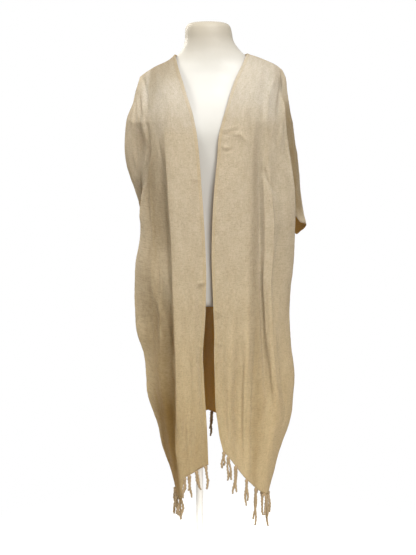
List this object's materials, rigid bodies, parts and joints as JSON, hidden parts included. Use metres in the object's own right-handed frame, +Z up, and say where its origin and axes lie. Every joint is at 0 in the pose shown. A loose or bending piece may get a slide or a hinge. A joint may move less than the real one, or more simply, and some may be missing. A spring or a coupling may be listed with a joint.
{
  "type": "kaftan jacket on dress form",
  "caption": "Open-fronted long gauze kaftan jacket with cut-on sleeves and a knotted fringe at the hem, hung on a smooth limbless dress form on a round-based stand.",
  "frame": {"origin": "on the floor, at the centre of the underside of the round base, under the middle of the dress form", "axes": "+Z up; the open front faces -Y; the wearer's right is -X, the viewer's left"},
  "size_m": [0.4738, 0.36, 1.523],
  "materials": {
    "cloth": "thin slubby plain-weave gauze, warm sand beige, slightly see-through",
    "fringe": "knotted bundles of the cloth's own loose warp threads",
    "form": "smooth matte off-white cover",
    "stand": "satin white paint"
  },
  "bodies": {
    "root": {"left_front": "cloth", "right_front": "cloth", "back": "cloth", "fringe_left_front": "fringe", "fringe_right_front": "fringe", "fringe_back": "fringe", "dress_form": "form", "stand_socket": "stand", "stand_pole": "stand", "stand_base": "stand"}
  },
  "joints": []
}
